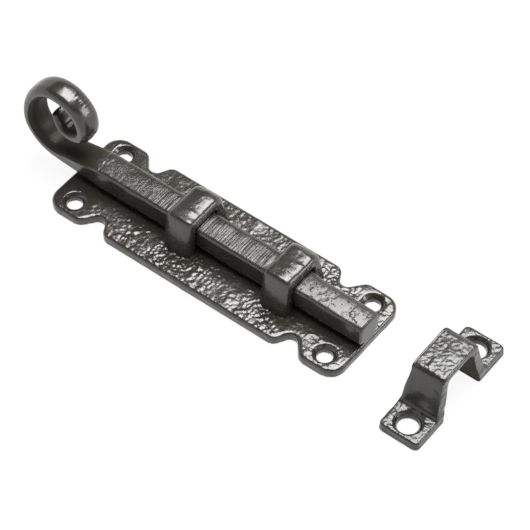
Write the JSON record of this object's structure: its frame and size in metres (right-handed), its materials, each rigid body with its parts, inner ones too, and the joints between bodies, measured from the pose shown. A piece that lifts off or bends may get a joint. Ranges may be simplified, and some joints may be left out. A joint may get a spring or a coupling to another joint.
{
  "type": "door bolt",
  "caption": "Surface door bolt in black iron: a square sliding bar with a scrolled tail in guide straps on a scalloped back plate, and a separate bent keep.",
  "frame": {"origin": "centre of the back plate's back face, midway between its four screw holes", "axes": "+X along the bar, the way it is thrown towards the keep; +Y across the plate; +Z out of the door's face"},
  "size_m": [0.1524, 0.042, 0.0335],
  "materials": {
    "plate_iron": "black, semi-gloss, over forged or hammered iron",
    "strap_iron": "black, semi-gloss, over forged or hammered iron",
    "bar_iron": "black, semi-gloss, over forged or hammered iron",
    "keep_iron": "black, semi-gloss, over forged or hammered iron",
    "pin_steel": "bare, drawn"
  },
  "bodies": {
    "base": {"back_plate": "plate_iron", "rear_strap": "strap_iron", "front_strap": "strap_iron", "keep": "keep_iron"},
    "bolt": {"bolt_bar": "bar_iron", "stop_pin": "pin_steel"}
  },
  "joints": [
    {"name": "bolt_slide", "type": "slide", "parent": "base", "child": "bolt", "axis": [1, 0, 0], "range_m": [0, 0.0254]}
  ]
}
